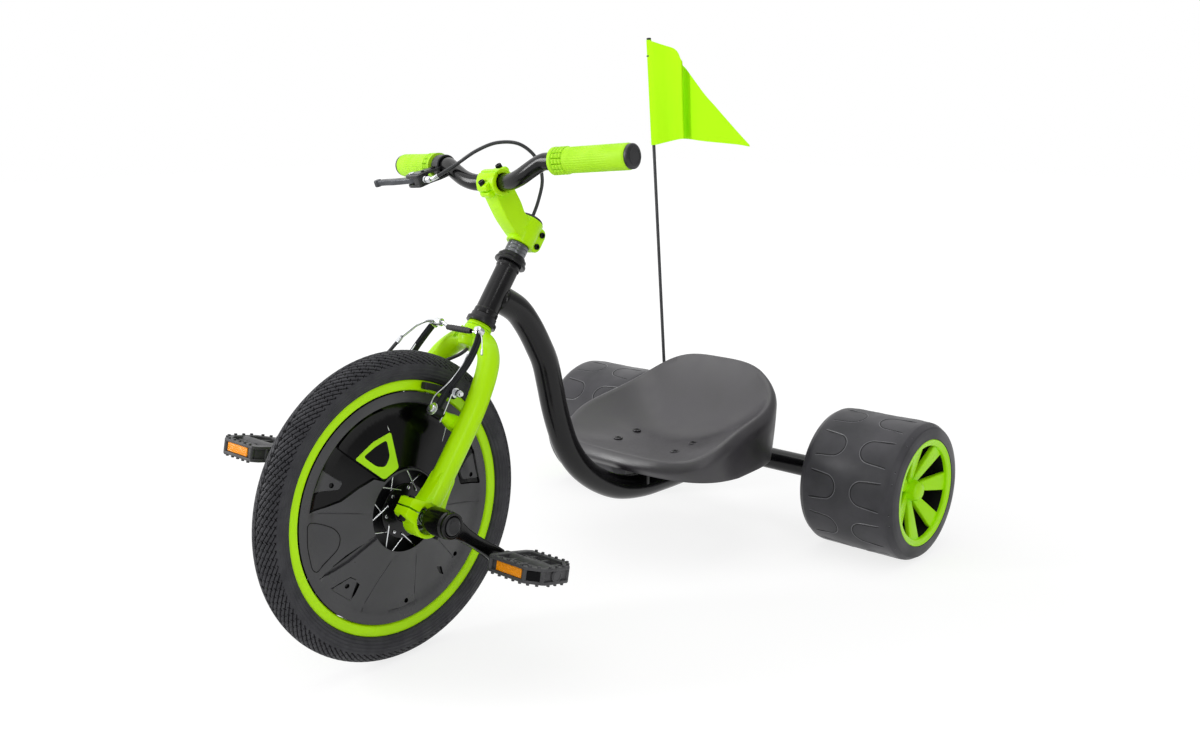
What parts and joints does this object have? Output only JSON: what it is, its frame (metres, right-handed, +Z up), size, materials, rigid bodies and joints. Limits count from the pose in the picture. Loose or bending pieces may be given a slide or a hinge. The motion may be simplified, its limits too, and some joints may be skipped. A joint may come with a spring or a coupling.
{
  "type": "drift trike",
  "caption": "Child's low tricycle that slides: direct-drive front wheel with pedals and rim brake, S-shaped tube frame, bucket seat, wide slick rear wheels and a pennant.",
  "frame": {"origin": "middle of the footprint's bounding box, on the ground", "axes": "+Z up, -Y forward, +X to the rider's left"},
  "size_m": [0.712, 1.053, 0.7982],
  "materials": {
    "lime_paint": "gloss",
    "black_paint": "gloss",
    "black_steel": "satin",
    "bright_steel": "satin",
    "grey_alloy": "satin",
    "lime_plastic": "gloss",
    "lime_rubber": "matte",
    "black_plastic": "matte",
    "slick_plastic": "satin",
    "grey_plastic": "matte",
    "black_rubber": "matte",
    "tread_rubber": "matte",
    "lime_cloth": "woven"
  },
  "bodies": {
    "trike_frame": {"frame": "black_paint", "headset_lower_cup": "black_paint", "headset_upper_cup": "black_paint", "rear_axle": "bright_steel", "rear_axle_nut_left": "bright_steel", "rear_axle_nut_right": "bright_steel", "seat": "black_plastic", "flag_pole": "black_plastic", "flag_pole_clamp": "black_plastic", "flag": "lime_cloth"},
    "steering": {"fork": "lime_paint", "fork_cap_left": "lime_paint", "fork_cap_right": "lime_paint", "hub_bearing_left": "bright_steel", "hub_bearing_right": "bright_steel", "headset_crown_race": "bright_steel", "headset_top_race": "black_paint", "steerer_spacer": "grey_alloy", "steerer_cap": "black_plastic", "stem": "lime_paint", "handlebar_clamp": "lime_paint", "handlebar": "black_paint", "grip_left": "lime_rubber", "grip_right": "lime_rubber", "bar_end_left": "black_plastic", "bar_end_right": "black_plastic", "brake_lever_bracket": "black_plastic", "lever_pivot_pin": "bright_steel", "barrel_adjuster": "bright_steel", "brake_cable": "black_rubber"},
    "front_wheel": {"front_tyre": "tread_rubber", "front_inner_tube": "black_rubber", "front_rim": "lime_paint", "front_hub": "black_steel", "front_spokes_left": "bright_steel", "front_spokes_right": "bright_steel", "wheel_cover_left": "black_plastic", "wheel_cover_right": "black_plastic", "crank_spindle": "bright_steel", "crank_left": "black_steel", "crank_right": "black_steel", "pedal_axle_left": "bright_steel", "pedal_axle_right": "bright_steel"},
    "pedal_left": {"pedal_left": "grey_plastic"},
    "pedal_right": {"pedal_right": "grey_plastic"},
    "brake_lever": {"brake_lever": "grey_alloy"},
    "brake_arm_left": {"brake_arm_left": "black_steel", "brake_shoe_left": "black_rubber"},
    "brake_arm_right": {"brake_arm_right": "black_steel", "brake_shoe_right": "black_rubber", "brake_noodle": "bright_steel", "noodle_boot": "black_rubber"},
    "rear_wheel_left": {"rear_tyre_left": "slick_plastic", "rear_wheel_left": "lime_plastic", "rear_bearing_left_inner": "bright_steel", "rear_bearing_left_outer": "bright_steel"},
    "rear_wheel_right": {"rear_tyre_right": "slick_plastic", "rear_wheel_right": "lime_plastic", "rear_bearing_right_inner": "bright_steel", "rear_bearing_right_outer": "bright_steel"}
  },
  "joints": [
    {"name": "steer", "type": "hinge", "parent": "trike_frame", "child": "steering", "pos_m": [0, -0.3265, 0.2], "axis": [0, 0.6, 0.8], "range_deg": [-60, 60]},
    {"name": "front_wheel_spin", "type": "hinge", "parent": "steering", "child": "front_wheel", "pos_m": [0, -0.3265, 0.2], "axis": [1, 0, 0], "continuous": true},
    {"name": "pedal_left_spin", "type": "hinge", "parent": "front_wheel", "child": "pedal_left", "pos_m": [0.169, -0.24959, 0.13926], "axis": [1, 0, 0], "continuous": true},
    {"name": "pedal_right_spin", "type": "hinge", "parent": "front_wheel", "child": "pedal_right", "pos_m": [-0.169, -0.40341, 0.26074], "axis": [1, 0, 0], "continuous": true},
    {"name": "rear_wheel_left_spin", "type": "hinge", "parent": "trike_frame", "child": "rear_wheel_left", "pos_m": [0.27, 0.4185, 0.108], "axis": [1, 0, 0], "continuous": true},
    {"name": "rear_wheel_right_spin", "type": "hinge", "parent": "trike_frame", "child": "rear_wheel_right", "pos_m": [-0.27, 0.4185, 0.108], "axis": [1, 0, 0], "continuous": true},
    {"name": "brake_lever_pull", "type": "hinge", "parent": "steering", "child": "brake_lever", "pos_m": [-0.14764, -0.14917, 0.59325], "axis": [0.0845, 0.2898, -0.9533], "range_deg": [0, 20], "stiffness_Nm_per_rad": 0.6, "springref_deg": -17.19},
    {"name": "brake_arm_left_swing", "type": "hinge", "parent": "steering", "child": "brake_arm_left", "pos_m": [0.04, -0.2521, 0.2992], "axis": [0, -0.8, 0.6], "range_deg": [0, 2.25]},
    {"name": "brake_arm_right_swing", "type": "hinge", "parent": "steering", "child": "brake_arm_right", "pos_m": [-0.04, -0.2521, 0.2992], "axis": [0, 0.8, -0.6], "range_deg": [0, 2.25]}
  ],
  "couplings": [
    {"joint": "brake_arm_left_swing", "follows": "brake_lever_pull", "ratio": 0.11},
    {"joint": "brake_arm_right_swing", "follows": "brake_lever_pull", "ratio": 0.11}
  ]
}
